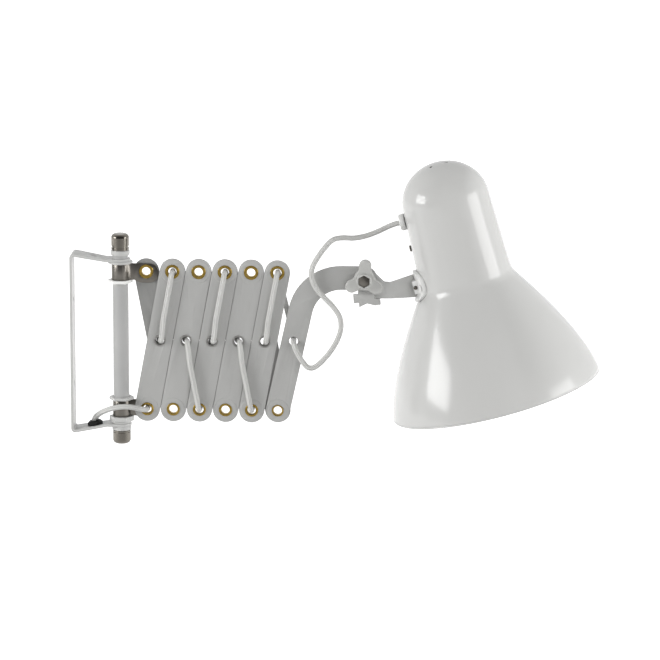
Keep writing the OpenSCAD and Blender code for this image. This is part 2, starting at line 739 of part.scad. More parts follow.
module knuckle_bolt() {
    color(dark_steel) {
        translate([knuckle_x, socket_floor_y - run_gap, knuckle_z]) rotate([90, 30, 0])
            cylinder(h = bolt_head_h - run_gap, r = bolt_head_af / 2 / cos(30), $fn = 6);
        cross_pin(knuckle_x, knuckle_z, socket_floor_y - bolt_head_h / 2,
            strip_y + strip_t + face_gap + nut_h + bolt_out, bolt_d / 2);
    }
}

module knuckle_nut() {
    y0 = strip_y + strip_t;
    color(dark_steel) difference() {
        translate([knuckle_x, y0 + nut_h, knuckle_z]) rotate([90, 30, 0])
            cylinder(h = nut_h, r = nut_af / 2 / cos(30), $fn = 6);
        cross_pin(knuckle_x, knuckle_z, y0 - over, y0 + nut_h + over, bolt_d / 2 + run_gap);
    }
}

module friction_washer() {
    y0 = strip_y - friction_t;
    color(rubber_colour) difference() {
        cross_pin(knuckle_x, knuckle_z, y0, strip_y, arm_w / 2 - strip_t);
        cross_pin(knuckle_x, knuckle_z, y0 - over, strip_y + over, bolt_hole_r);
    }
}

// Moulded seat between the head arm and the knob, with a notched skirt and two lugs below the arm
module knuckle_seat() {
    half = seat_w / 2;
    low = -seat_drop;
    lug = half + seat_lug_w;
    y0 = seat_front_y;
    y1 = -layer_gap - arm_t;
    color(knob_plastic) difference() {
        translate([knuckle_x, 0, knuckle_z]) union() {
            plate(y0, y1) union() {
                circle(knob_waist_r - hole_gap);
                rotate(seat_turn) polygon([[-half * seat_top_share, 0], [-half, low * lug_top_shares[0]],
                    [-lug, low * lug_top_shares[0]], [-lug, low * lug_low_shares[0]],
                    [-half, low * lug_low_shares[0]], [-half, low], [0, low + seat_notch], [half, low],
                    [half, low * lug_low_shares[1]], [lug, low * lug_low_shares[1]],
                    [lug, low * lug_top_shares[1]], [half, low * lug_top_shares[1]],
                    [half * seat_top_share, 0]]);
            }
        }
        cross_pin(knuckle_x, knuckle_z, y0 - over, y1 + over, bolt_hole_r);
    }
}

// Strip from the knuckle to the shade: flat, then turned back at a side bend
module head_strip() {
    kink_x = knuckle_x + strip_bend_x * strip_neck_share;
    end_low = strip_low_z + strip_end_lift;
    color(steel_paint) difference() {
        union() {
            plate(strip_y, strip_y + strip_t) union() {
                translate([knuckle_x, knuckle_z]) circle(strip_root_r);
                polygon([[knuckle_x, knuckle_z], [knuckle_x, knuckle_z - strip_root_r],
                    [knuckle_x + strip_root_r, strip_low_z], [strip_side_x, strip_low_z],
                    [strip_side_x, strip_neck_z], [kink_x, strip_neck_z - strip_end_lift],
                    [knuckle_x + strip_root_r * cos(30), knuckle_z + strip_root_r * sin(30)]]);
            }
            translate([strip_side_x, strip_y + strip_t, 0]) rotate([0, 0, strip_bend])
                plate(-strip_t, 0) polygon([[-strip_t * tan(strip_bend / 2), strip_low_z],
                    [strip_end_len, end_low], [strip_end_len, end_low + strip_end_h],
                    [-strip_t * tan(strip_bend / 2), strip_neck_z]]);
        }
        cross_pin(knuckle_x, knuckle_z, strip_y - over, strip_y + strip_t + over, bolt_hole_r);
        on_shade() rotate_extrude($fn = fine_fn) polygon(concat([[0, hang_s - strip_end_h]],
            [for (k = [0:saddle_steps]) let (h = hang_s + strip_end_h * (2 * k / saddle_steps - 1))
                [outside_r(h) + saddle_gap, h]], [[0, hang_s + strip_end_h]]));
    }
}

// Places its children on the shade's axis, at the centre of the rim
module on_shade() {
    translate([shade_x, shade_side, shade_z]) rotate([0, -shade_tilt, 0]) children();
}

// Hole through the shade's wall on the side that faces the knuckle
module side_hole(s, r) {
    translate([0, 0, s]) rotate([0, -90, 0]) cylinder(h = rim_r, r = r);
}

// Outer radius of the shade at a height s above the rim
function bell_r(s) = neck_r + (rim_r - neck_r) * (1 - pow(s / bell_h, bell_power));
function neck_radius(s) = neck_r + (dome_r - neck_r) * (s - bell_h) / neck_h;
function outside_r(s) = s < bell_h ? bell_r(s) : neck_radius(s);
function profile(inset) = concat(
    [for (k = [0:bell_steps]) let (s = bell_h * k / bell_steps) [bell_r(s) - inset, s]],
    [for (k = [0:dome_steps - 1]) let (a = 90 * k / dome_steps)
        [(dome_r - inset) * cos(a), bell_h + neck_h + (dome_h - inset) * sin(a)]],
    [[0, bell_h + neck_h + dome_h - inset]]);

module shade() {
    color(shade_paint) on_shade() difference() {
        union() {
            rotate_extrude($fn = fine_fn) polygon(concat(profile(0), reversed(profile(shade_t))));
            rotate_extrude($fn = fine_fn) translate([rim_r - rim_lip / 2, rim_lip / 2])
                circle(rim_lip / 2, $fn = 24);
        }
        for (k = [0:3]) rotate(90 * k + 65) translate([vent_ring_r, 0, bell_h + neck_h])
            cylinder(h = dome_h + over, r = vent_d / 2);
        side_hole(gland_s, gland_thread_d / 2 + hole_gap);
        side_hole(holder_screw_s, holder_screw_d / 2 + hole_gap);
        for (side = [-1, 1]) saddle_rivet_place(side)
            rotate([0, -90, 0]) cylinder(h = rim_r, r = rivet_d / 2 + hole_gap);
    }
}

// Turned about the shade's axis to the saddle's middle, then round to one of its two rivets
module saddle_rivet_place(side) {
    rotate(saddle_angle + side * rivet_place_share * saddle_w / neck_r * 180 / PI)
        translate([0, 0, saddle_s]) children();
}

module shade_saddle() {
    flat_w = saddle_w / 2 - saddle_corner_r;
    out_r = outside_r(hang_s) + saddle_t;
    steps = [for (k = [0:saddle_steps]) saddle_s + saddle_h * (k / saddle_steps - 1 / 2)];
    color(white_plastic) difference() {
        union() {
            on_shade() intersection() {
                rotate_extrude($fn = fine_fn) polygon(concat(
                    [for (h = steps) [outside_r(h) + saddle_gap, h]],
                    [for (h = reversed(steps)) [outside_r(h) + saddle_t, h]]));
                rotate(saddle_angle) translate([0, 0, saddle_s]) rotate([0, -90, 0])
                    linear_extrude(rim_r) union() {
                        for (side = [-1, 1]) translate([0, side * flat_w]) circle(saddle_corner_r);
                        translate([-saddle_h / 2, -flat_w]) square([saddle_h, 2 * flat_w]);
                    }
            }
            on_shade() difference() {
                translate([-out_r - ear_out, -ear_front, hang_s - ear_h / 2])
                    cube([ear_out + ear_in, ear_front - ear_back, ear_h]);
                translate([0, 0, hang_s - ear_h])
                    cylinder(h = 2 * ear_h, r = outside_r(hang_s - ear_h / 2) + saddle_gap, $fn = fine_fn);
            }
        }
        translate([strip_side_x, strip_y + strip_t, 0]) rotate([0, 0, strip_bend])
            plate(-strip_t - face_gap, face_gap) translate([0, strip_low_z + end_slot_low])
                square([strip_end_len + face_gap,
                    strip_end_lift + strip_end_h + face_gap - end_slot_low]);
        for (side = [-1, 1]) on_shade() saddle_rivet_place(side)
            rotate([0, -90, 0]) cylinder(h = rim_r, r = rivet_d / 2 + hole_gap);
    }
}

module saddle_screw() {
    out_r = outside_r(hang_s) + saddle_t;
    color(dark_steel) on_shade() translate([-out_r + screw_d / 4, -ear_front - face_gap, hang_s])
        difference() {
            rotate([90, 0, 0]) cylinder(h = screw_head_t, r = screw_d / 2);
            translate([-screw_d, -screw_head_t - over, -screw_slot_w / 2])
                cube([2 * screw_d, over + screw_head_t / 2, screw_slot_w]);
        }
}

// Two rivets hold the saddle on the neck
module saddle_rivets() {
    out_r = outside_r(saddle_s) + saddle_t + saddle_gap;
    in_r = neck_radius(saddle_s) - shade_t - 2 * rivet_head_t;
    color(nickel) for (side = [-1, 1]) on_shade() saddle_rivet_place(side) rotate([0, -90, 0]) {
        translate([0, 0, in_r + rivet_head_t / 2]) cylinder(h = out_r - in_r, r = rivet_d / 2);
        translate([0, 0, out_r]) cylinder(h = rivet_head_t, r = rivet_head_d / 2);
        translate([0, 0, in_r]) cylinder(h = rivet_head_t, r = rivet_head_d / 2);
    }
}

module cord_gland() {
    wall_r = neck_radius(gland_s);
    seat_r = neck_radius(gland_s - gland_d / 2) + face_gap;
    nut_r = wall_r - shade_t - gland_nut_h;
    color(white_plastic) on_shade() translate([0, 0, gland_s]) rotate([0, -90, 0]) difference() {
        union() {
            translate([0, 0, seat_r]) cylinder(h = wall_r + gland_h - gland_flange_t - seat_r, r = gland_d / 2);
            translate([0, 0, wall_r + gland_h - gland_flange_t])
                cylinder(h = gland_flange_t, r1 = gland_d / 2, r2 = gland_d / 2 - gland_flange_t / 2);
            translate([0, 0, nut_r]) cylinder(h = seat_r - nut_r + over, r = gland_thread_d / 2);
            translate([0, 0, nut_r - shade_t]) cylinder(h = gland_nut_h, r = gland_nut_d / 2);
        }
        cylinder(h = rim_r, r = cord_d / 2 - cord_grip);
    }
}

module lamp_holder() {
    color(white_plastic) on_shade() translate([0, 0, holder_top_s - holder_h]) difference() {
        cylinder(h = holder_h, r = holder_d / 2);
        translate([0, 0, -over]) cylinder(h = holder_h - holder_floor_t + over, r = holder_bore / 2);
    }
}

// Strap from the neck's wall over the top of the lamp holder
module holder_bracket() {
    wall_in = neck_radius(holder_top_s + holder_strap_t) - shade_t;
    out_x = sqrt(wall_in * wall_in - holder_strap_w * holder_strap_w / 4) - hole_gap;
    leg_s = holder_screw_s - holder_strap_w / 2;
    color(nickel) on_shade() difference() {
        union() {
            translate([-out_x, -holder_strap_w / 2, leg_s])
                cube([holder_strap_t, holder_strap_w, holder_top_s + holder_strap_t - leg_s]);
            translate([-out_x, -holder_strap_w / 2, holder_top_s])
                cube([out_x + holder_strap_w / 2, holder_strap_w, holder_strap_t]);
        }
        side_hole(holder_screw_s, holder_screw_d / 2 + hole_gap);
    }
}

module holder_screw() {
    wall_r = neck_radius(holder_screw_s);
    shank = 3 * holder_head_t + holder_strap_t;
    color(dark_steel) on_shade() translate([0, 0, holder_screw_s]) rotate([0, -90, 0]) {
        translate([0, 0, wall_r - shank]) cylinder(h = shank + over, r = holder_screw_d / 2);
        translate([0, 0, wall_r + face_gap]) cylinder(h = holder_head_t, r = holder_head_d / 2);
    }
}

wall_bracket();
spindle_tube();
top_cap();
bottom_cap();
top_ring_nut();
bottom_ring_nut();
top_washer();
bottom_washer();
lower_thrust_nut();
lower_collar();
cord_grommet();
lower_hinge_tab();
upper_hinge_tab();
upper_glide_ring();
upper_tab_eyelet();
for (i = [1:5]) {
    front_arm(i);
    arm_eyelets(i);
    mid_rivet(i);
    back_arm(i);
    laced_cord(i);
}
head_arm();
head_arm_eyelet();
wall_cord();
link_cord();
loop_cord();
knuckle_seat();
tilt_knob();
knuckle_bolt();
knuckle_nut();
friction_washer();
head_strip();
shade_saddle();
saddle_screw();
saddle_rivets();
shade();
cord_gland();
lamp_holder();
holder_bracket();
holder_screw();
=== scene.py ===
import json
import math

import bmesh
import bpy
import numpy as np
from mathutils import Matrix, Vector


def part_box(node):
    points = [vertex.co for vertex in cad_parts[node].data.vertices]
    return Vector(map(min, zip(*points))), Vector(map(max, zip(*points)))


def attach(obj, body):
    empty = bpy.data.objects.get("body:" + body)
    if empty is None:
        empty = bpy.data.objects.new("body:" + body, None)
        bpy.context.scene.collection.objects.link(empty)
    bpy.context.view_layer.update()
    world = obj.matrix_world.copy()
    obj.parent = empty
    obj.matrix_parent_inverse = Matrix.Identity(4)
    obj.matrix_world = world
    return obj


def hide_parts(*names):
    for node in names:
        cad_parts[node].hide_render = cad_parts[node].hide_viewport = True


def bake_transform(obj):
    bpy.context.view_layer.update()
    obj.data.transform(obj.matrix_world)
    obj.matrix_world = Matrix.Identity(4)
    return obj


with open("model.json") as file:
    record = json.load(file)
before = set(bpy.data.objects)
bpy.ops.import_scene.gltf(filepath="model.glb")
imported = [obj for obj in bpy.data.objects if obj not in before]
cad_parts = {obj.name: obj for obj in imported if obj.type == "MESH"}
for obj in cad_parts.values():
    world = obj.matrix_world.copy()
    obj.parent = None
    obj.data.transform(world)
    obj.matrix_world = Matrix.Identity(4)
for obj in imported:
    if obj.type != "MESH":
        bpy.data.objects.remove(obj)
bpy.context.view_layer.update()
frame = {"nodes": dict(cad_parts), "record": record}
nodes = frame["nodes"]
bodyOf = {n: b for b, names in frame["record"]["behaviour"]["bodies"].items() for n in names}
mm = 0.001
print("frame loaded,", len(nodes), "nodes")


def addObject(name, data):
    made = bpy.data.objects.new(name, data)
    bpy.context.scene.collection.objects.link(made)
    return made


# A camera or a lamp looks along its own -Z
def pointAlong(thing, direction):
    thing.rotation_mode = "QUATERNION"
    thing.rotation_quaternion = direction.to_track_quat("-Z", "Y")


# The photograph's view: angles in degrees, lens and sensor in millimetres, distances in metres
cameraView = {"azimuth": 3.5, "elevation": 12.5, "distance": 4.72, "lens": 257, "sensor": 36, "farClip": 100,
              "aim": (0.2604, 0, 0.0149)}


def addCamera(view):
    a, e = math.radians(view["azimuth"]), math.radians(view["elevation"])
    back = Vector((math.sin(a) * math.cos(e), -math.cos(a) * math.cos(e), math.sin(e)))
    data = bpy.data.cameras.new("camera")
    data.sensor_width = view["sensor"]
    data.lens = view["lens"]
    data.clip_end = view["farClip"]
    camera = addObject("camera", data)
    camera.location = Vector(view["aim"]) + back * view["distance"]
    pointAlong(camera, -back)
    bpy.context.scene.camera = camera


addCamera(cameraView)
print("camera placed")


def shadeSmooth(mesh):
    mesh.polygons.foreach_set("use_smooth", np.ones(len(mesh.polygons), bool))


# Rows of points (rows, columns, 3) become quads; a closed way joins its last line to its first
def gridSurface(name, points, closedRows=False, closedColumns=False, uv=None):
    rows, columns = points.shape[:2]
    i = np.arange(rows if closedRows else rows - 1)[:, None]
    j = np.arange(columns if closedColumns else columns - 1)[None, :]
    ni, nj = (i + 1) % rows, (j + 1) % columns
    quads = np.stack([i * columns + j, i * columns + nj, ni * columns + nj, ni * columns + j], axis=-1)
    mesh = bpy.data.meshes.new(name)
    mesh.from_pydata(points.reshape(-1, 3), [], quads.reshape(-1, 4))
    if uv is not None:
        layer = mesh.uv_layers.new(name="along")
        row, column = np.broadcast_arrays(i, j)
        u = uv[0][np.stack([row, row, row + 1, row + 1], axis=-1).reshape(-1)]
        v = uv[1][np.stack([column, column + 1, column + 1, column], axis=-1).reshape(-1)]
        layer.data.foreach_set("uv", np.stack([u, v], axis=-1).astype(np.float32).ravel())
    shadeSmooth(mesh)
    mesh.update()
    return addObject(name, mesh)


# Doubles closer than the gap, in metres, are merged, and all faces turned outwards
def tidyShell(piece, gap):
    shell = bmesh.new()
    shell.from_mesh(piece.data)
    bmesh.ops.remove_doubles(shell, verts=shell.verts, dist=gap)
    bmesh.ops.recalc_face_normals(shell, faces=shell.faces)
    shell.to_mesh(piece.data)
    shell.free()
    shadeSmooth(piece.data)
    return piece


# Every cord: its diameter in millimetres, the steps between two points of a route, and the sides of its tube
cordForm = {"diameter": 5.4, "perSpan": 8, "sides": 32}


# A curve through every point: each span is a cubic whose slopes come from the points on either side
def smoothRoute(route):
    perSpan = cordForm["perSpan"]
    p = np.array(route, float)
    p = np.vstack([2 * p[0] - p[1], p, 2 * p[-1] - p[-2]])
    t = (np.arange(perSpan) / perSpan)[None, :, None]
    a, b, c, d = (p[k:len(p) - 3 + k, None, :] for k in range(4))
    square, cube = 2 * a - 5 * b + 4 * c - d, 3 * b - a - 3 * c + d
    span = 0.5 * (2 * b + (c - a) * t + square * t ** 2 + cube * t ** 3)
    return np.vstack([span.reshape(-1, 3), p[-2:-1]])


def unitRows(v):
    return v / np.linalg.norm(v, axis=-1, keepdims=True)


# Round tube along a path: each ring lies across the path, and its start is carried from ring to ring
def cordTube(name, path, firstNormal):
    diameter, sides = cordForm["diameter"] * mm, cordForm["sides"]
    tangent = unitRows(np.gradient(path, axis=0))
    normal = np.empty_like(path)
    carried = np.array(firstNormal, float)
    for k, along in enumerate(tangent):
        carried = carried - (carried @ along) * along
        carried = carried / np.linalg.norm(carried)
        normal[k] = carried
    across = np.cross(tangent, normal)
    angle = np.linspace(0, 2 * np.pi, sides, endpoint=False)[None, :, None]
    ring = normal[:, None, :] * np.cos(angle) + across[:, None, :] * np.sin(angle)
    points = path[:, None, :] + ring * diameter / 2
    travelled = np.concatenate([[0], np.cumsum(np.linalg.norm(np.diff(path, axis=0), axis=1))])
    around = np.linspace(0, 1, sides + 1)
    tube = gridSurface(name, points, closedColumns=True, uv=(travelled / (math.pi * diameter), around))
    caps = bmesh.new()
    caps.from_mesh(tube.data)
    caps.verts.ensure_lookup_table()
    last = (len(path) - 1) * sides
    caps.faces.new([caps.verts[k] for k in range(sides)])
    caps.faces.new([caps.verts[last + k] for k in reversed(range(sides))])
    bmesh.ops.recalc_face_normals(caps, faces=caps.faces)
    caps.to_mesh(tube.data)
    caps.free()
    return tube


# The two free stretches. Their points are those of the part's source, in millimetres. The ends of the stretch
# that bends between the two bodies are in metres
wallCord = {
    "node": "wall_cord", "bodies": ("wall_mount", "lower_swivel"), "firstNormal": (0, 1, 0),
    "route": [[23.8, 0, -88.5], [22.7, 0, -81.8], [22.9, -0.4, -79.5], [24.9, -2, -76.4], [29, -5, -72.8],
              [35, -8.4, -69.2], [41.8, -11.4, -66.2], [49, -13.2, -64.4], [56.4, -13.6, -63.9],
              [62.9, -13, -64.7], [68.2, -11.4, -66.1], [72.2, -8.8, -67.6], [74.9, -5.6, -68.3],
              [76.1, -2.4, -68.3], [76.1, 0, -68.3]],
    "bendFrom": (0.029, -0.005, -0.0728), "bendTo": (0.069, -0.011, -0.0663),
}
loopCord = {
    "node": "loop_cord", "bodies": ("head_arm", "head"), "firstNormal": (0, 0, 1),
    "route": [[223.9, 0, 3.3], [223.9, -2.8, 3.3], [224.4, -6.2, 2], [226.1, -9.4, -2.3],
              [229.5, -11.6, -8.6], [233.9, -12.8, -15.4], [238.3, -13.4, -20.2], [242.9, -13.6, -21.4],
              [248.3, -13.6, -18.8], [254.9, -13.4, -12.6], [262.4, -13, -3.2], [268.4, -12.4, 7.4],
              [271.9, -11.4, 18.6], [270.8, -10.2, 30.2], [263.9, -9, 40.8], [255, -8, 49.8],
              [246.6, -7.4, 59.6], [242.4, -7, 70.2], [243.4, -6.4, 80.4], [248.9, -5, 90.6],
              [256.2, -2.4, 100.4], [263.5, 1.6, 106.8], [272.5, 6, 108], [283.5, 10.4, 107],
              [294.9, 14.6, 108.4], [306.7, 18, 112.2], [317, 19.8, 117], [324.1, 20, 119.9],
              [328.9, 20, 121.15], [333.75, 20, 122.45]],
    "bendFrom": (0.2424, -0.007, 0.0702), "bendTo": (0.3241, 0.02, 0.1199),
}


def addFreeCord(name, cord):
    path = smoothRoute(np.array(cord["route"]) * mm)
    tube = cordTube(name, path, cord["firstNormal"])
    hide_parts(cord["node"])
    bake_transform(tube)
    return tube


cords = [addFreeCord("wallCord", wallCord), addFreeCord("loopCord", loopCord)]

# The laced stretches, in millimetres: along an arm the cord bends out of one eyelet and into the next. A slip
# is how far aside a lace lies in its middle rivet, behind the arms and before them, and its lean along them
lacing = {"bendRadius": 3.6, "bendStart": 2.5, "bendSteps": 8, "straightSteps": 24,
          "slipFrom": 4, "slipTo": 24,
          "slips": {1: (-1.4, 1.4, 0), 2: (-1.35, 1.35, 0.6), 3: (-1.4, 1.4, 0), 4: (-1.35, 1.35, 0.6),
                    5: (1.2, 1.2, 0)}}
armPairs = 5


def eyeletCentre(node, top):
    mesh = nodes[node].data
    co = np.empty(len(mesh.vertices) * 3)
    mesh.vertices.foreach_get("co", co)
    co = co.reshape(-1, 3)
    middle = (co[:, 2].max() + co[:, 2].min()) / 2
    part = co[co[:, 2] > middle] if top else co[co[:, 2] < middle]
    return (part.max(axis=0) + part.min(axis=0)) / 2


# Flat route (distance along the arm, height off it): a quarter circle at each hole and straight between
def halfLace(start, end, side):
    r = lacing["bendRadius"]
    turn = np.linspace(0, math.pi / 2, lacing["bendSteps"] + 1)
    ahead, height = r * (1 - np.cos(turn)), side * (lacing["bendStart"] + r * np.sin(turn))
    out = np.stack([start + ahead, height], axis=1)
    back = np.stack([end - ahead, height], axis=1)[::-1]
    between = np.linspace(out[-1], back[0], lacing["straightSteps"])[1:-1]
    return np.vstack([out, between, back])


# A lace passes its middle rivet aslant: it keeps to the rivet's walls there and is back in line some way off
def slipAside(flat, middle, slip):
    behind, before, lean = slip
    reach = lacing["slipTo"] - lacing["slipFrom"]
    far = np.clip((np.abs(flat[:, 0] - middle) - lacing["slipFrom"]) / reach, 0, 1)
    near = 1 - far * far * (3 - 2 * far)
    depth = np.clip(flat[:, 1] / lacing["bendStart"], -1, 1)
    aside = ((behind - before) * depth + behind + before) / 2 * near
    return np.column_stack([flat[:, 0] - lean * depth * near, flat[:, 1], aside])


# The halves lie behind and before the arm in turn, from one eyelet's middle to the next
def addLace(name, node, body, start, end, halves, slip=(0, 0, 0)):
    start, end = np.array([start[0], 0, start[2]]), np.array([end[0], 0, end[2]])
    span = np.linalg.norm(end - start)
    cuts = np.linspace(0, span, halves + 1) / mm
    flat = [[[0, 0]]] + [halfLace(cuts[k], cuts[k + 1], 1 - 2 * (k % 2)) for k in range(halves)]
    flat = slipAside(np.vstack(flat + [[[cuts[-1], 0]]]), cuts[halves // 2], slip) * mm
    along = (end - start) / span
    aside = np.array([abs(along[2]), 0, -along[0] * np.sign(along[2])])
    path = start + flat @ np.array([along, [0, 1, 0], aside])
    tube = cordTube(name, path, along)
    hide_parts(node)
    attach(tube, body)
    return tube


# Odd laces run up the front arms and even ones down the back arms, and the link goes on to the loop's hole
def addLaces():
    pairs = range(1, armPairs + 1)
    tops = [eyeletCentre(f"arm_eyelets_{i}", True) for i in pairs]
    bottoms = [eyeletCentre(f"arm_eyelets_{i}", False) for i in pairs]
    for i in pairs:
        if i % 2 == 1:
            body, start, end = f"front_arm_{i}", bottoms[i - 1], tops[i - 1]
        else:
            body, start, end = f"back_arm_{i}", tops[i - 2], bottoms[i]
        cords.append(addLace(f"lacedCord{i}", f"laced_cord_{i}", body, start, end, 2, lacing["slips"][i]))
    loopStart = np.array(loopCord["route"][0]) * mm
    cords.append(addLace("linkCord", "link_cord", "link_cord", tops[-1], loopStart, 1))


addLaces()
print("cords made:", len(cords))

# The strip's fold, in millimetres and degrees. A narrow groove lies just short of it, in the face at front
bends = {"head_strip": {"x": 321.3, "front": 0.9, "half": 5, "turn": 24, "strip": 1, "weld": 0.05,
                        "grooveWidth": 0.8, "grooveDepth": (0.3, 1.5)}}
# Easing of a plate's edges: millimetres, and degrees for what counts as sharp and as flat
easing = {"segments": 2, "sharpFrom": 35, "flatWithin": 0.5, "weld": 0.002, "cutWithin": 0.0001}


# An upright fold in sheet metal becomes a round bend: its groove is closed, the sheet is cut into strips
# across it, and their Y follows the parabola slope (x + half)^2 / (4 half) where the fold had slope times x
def roundBend(shell, bend):
    shallow, deep = bend["grooveDepth"]
    for corner in shell.verts:
        across, depth = corner.co.x / mm - bend["x"], corner.co.y / mm - bend["front"]
        if -bend["grooveWidth"] < across < 0 and shallow < depth < deep:
            corner.co.y = bend["front"] * mm
    bmesh.ops.remove_doubles(shell, verts=shell.verts, dist=easing["weld"] * mm)
    half, strip = bend["half"], bend["strip"]
    for x in np.arange(bend["x"] - half, bend["x"] + half + strip / 2, strip):
        whole = shell.verts[:] + shell.edges[:] + shell.faces[:]
        bmesh.ops.bisect_plane(shell, geom=whole, dist=easing["cutWithin"] * mm, plane_co=(x * mm, 0, 0),
                               plane_no=(1, 0, 0))
    slope = math.tan(math.radians(bend["turn"]))
    for corner in shell.verts:
        x = corner.co.x / mm - bend["x"]
        if abs(x) < half:
            corner.co.y += slope * ((x + half) ** 2 / (4 * half) - max(0, x)) * mm
    bmesh.ops.remove_doubles(shell, verts=shell.verts, dist=bend["weld"] * mm)


# A node's own shape, its edges eased: its triangles are merged, joined where flat and bevelled where sharp
def eased(node, width):
    mesh = nodes[node].data.copy()
    piece = addObject(node + "Eased", mesh)
    shell = bmesh.new()
    shell.from_mesh(mesh)
    bmesh.ops.remove_doubles(shell, verts=shell.verts, dist=easing["weld"] * mm)
    if node in bends:
        roundBend(shell, bends[node])
    bmesh.ops.dissolve_limit(shell, angle_limit=math.radians(easing["flatWithin"]), verts=shell.verts,
                             edges=shell.edges, delimit={"NORMAL"})
    bmesh.ops.recalc_face_normals(shell, faces=shell.faces)
    shell.to_mesh(mesh)
    shell.free()
    shadeSmooth(mesh)
    bevel = piece.modifiers.new("bevel", "BEVEL")
    bevel.width = width * mm
    bevel.segments = easing["segments"]
    bevel.limit_method = "ANGLE"
    bevel.angle_limit = math.radians(easing["sharpFrom"])
    bevel.harden_normals = True
    bevel.use_clamp_overlap = True
    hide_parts(node)
    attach(piece, bodyOf[node])
    return piece


# The tilt knob: sizes in millimetres, depths along Y from the knob's front (its hub) to its back. Each
# rounding is a list of pairs: how far it stands off the edge across the axle, and off the face along it
knobShape = {"outer": 20.6, "waist": 10.2, "finger": 6.3, "fingers": 3, "fillet": 0.8, "turn": 87, "hub": 7.4,
             "bore": 3.2, "socket": 5.6, "lobeFront": 6, "socketFloor": 5.6, "back": 13,
             "backRound": [(1, 0), (0.3, 0.3), (0, 1)],
             "frontRound": [(0, 1.8), (0.2, 0.9), (0.7, 0.3), (1.4, 0.08), (2.4, 0)],
             "faceMiddle": 4.3, "faceSink": 0.1,
             "hubFoot": [(0.9, 0.1), (0.35, 0.35), (0.05, 1), (0, 2)],
             "hubRound": [(0, 0.9), (0.12, 0.4), (0.5, 0)],
             "socketRound": [(0.35, 0), (0.08, 0.12), (0, 0.5)],
             "around": 240, "raySteps": 1500, "rayBeyond": 2, "sharpFrom": 40, "weld": 0.001}


# The lobes' outline: fingers with round tips and a round waist, softly joined. The distance to each part is
# taken along every ray from the middle, and the outline ends where -k ln(sum of exp(-distance / k)) is 0
def lobeRadius(angle):
    s = knobShape
    r = np.linspace(s["finger"], s["outer"] + s["rayBeyond"], s["raySteps"])[:, None]
    parts = [r - s["waist"] + 0 * angle]
    for k in range(s["fingers"]):
        off = angle - math.radians(s["turn"] + 360 / s["fingers"] * k)
        ahead, aside = r * np.cos(off), r * np.sin(off)
        reach = np.clip(ahead, 0, s["outer"] - s["finger"])
        parts.append(np.hypot(ahead - reach, aside) - s["finger"])
    joined = -s["fillet"] * np.log(sum(np.exp(-p / s["fillet"]) for p in parts))
    outline = r[(joined < 0).sum(axis=0) - 1, 0]
    return outline * s["outer"] / outline.max()


# The profile (radius, depth) runs from the bore over the back, round the lobes' edge, over the front to the
# hub, and down its hexagon socket to the bore
def knobProfile(angle):
    s = knobShape
    lobes, ring = lobeRadius(angle), np.ones_like(angle)
    sixth = np.pi / 3
    hexagon = s["socket"] / np.cos((angle - sixth / 2) % sixth - sixth / 2)
    front, back = s["lobeFront"], s["back"]
    rows = [(s["bore"] * ring, back)]
    rows += [(lobes - off, back - depth) for off, depth in s["backRound"]]
    rows += [(lobes - off, front + depth) for off, depth in s["frontRound"]]
    rows += [((lobes - s["frontRound"][-1][0]) / 2 + s["faceMiddle"], front - s["faceSink"])]
    rows += [((s["hub"] + off) * ring, front - depth) for off, depth in s["hubFoot"]]
    rows += [((s["hub"] - off) * ring, depth) for off, depth in s["hubRound"]]
    rows += [(hexagon + off, depth) for off, depth in s["socketRound"]]
    rows += [(hexagon, s["socketFloor"]), (s["bore"] * ring, s["socketFloor"])]
    return np.array([radius for radius, _ in rows]), np.array([depth for _, depth in rows])[:, None] * ring


def addKnob():
    s = knobShape
    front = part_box("tilt_knob")[0][1] / mm
    axle = sum(np.array(corner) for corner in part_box("knuckle_bolt")) / 2 / mm
    a = np.linspace(0, 2 * np.pi, s["around"], endpoint=False)
    radius, depth = knobProfile(a)
    points = [axle[0] + radius * np.cos(a), front + depth, axle[2] + radius * np.sin(a)]
    shell = gridSurface("knobShell", np.stack(points, axis=-1) * mm, closedRows=True, closedColumns=True)
    knob = tidyShell(shell, s["weld"] * mm)
    knob.data.set_sharp_from_angle(angle=math.radians(s["sharpFrom"]))
    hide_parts("tilt_knob")
    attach(knob, "knob")
    return knob


knob = addKnob()
print("knob made")

# The shade: sizes along its own axis in millimetres, and angles in degrees. Its main sizes are those of the
# part's source; the round lip and the softened fold are made here only
shadeShape = {"rimRadius": 107, "bellHeight": 121, "bellPower": 1.4, "neckRadius": 47.1, "domeRadius": 44.1,
              "neckHeight": 83, "domeHeight": 40.5, "wall": 0.9, "tilt": 14.8, "lip": 0.8,
              "lipTurn": (180, 420), "soften": 5, "softReach": 4, "softSamples": 21, "foldReach": 11,
              "rowGap": 1, "domeGap": 0.5, "bellRows": 60, "foldRows": 34, "neckRows": 24, "domeRows": 40,
              "lipRows": 18, "around": 192, "weld": 0.005,
              "vents": 4, "ventTurn": 65, "ventDiameter": 3.6, "ventRing": 11.4, "ventSides": 24,
              "drillSpan": (20, 60)}
shadeTop = shadeShape["bellHeight"] + shadeShape["neckHeight"]


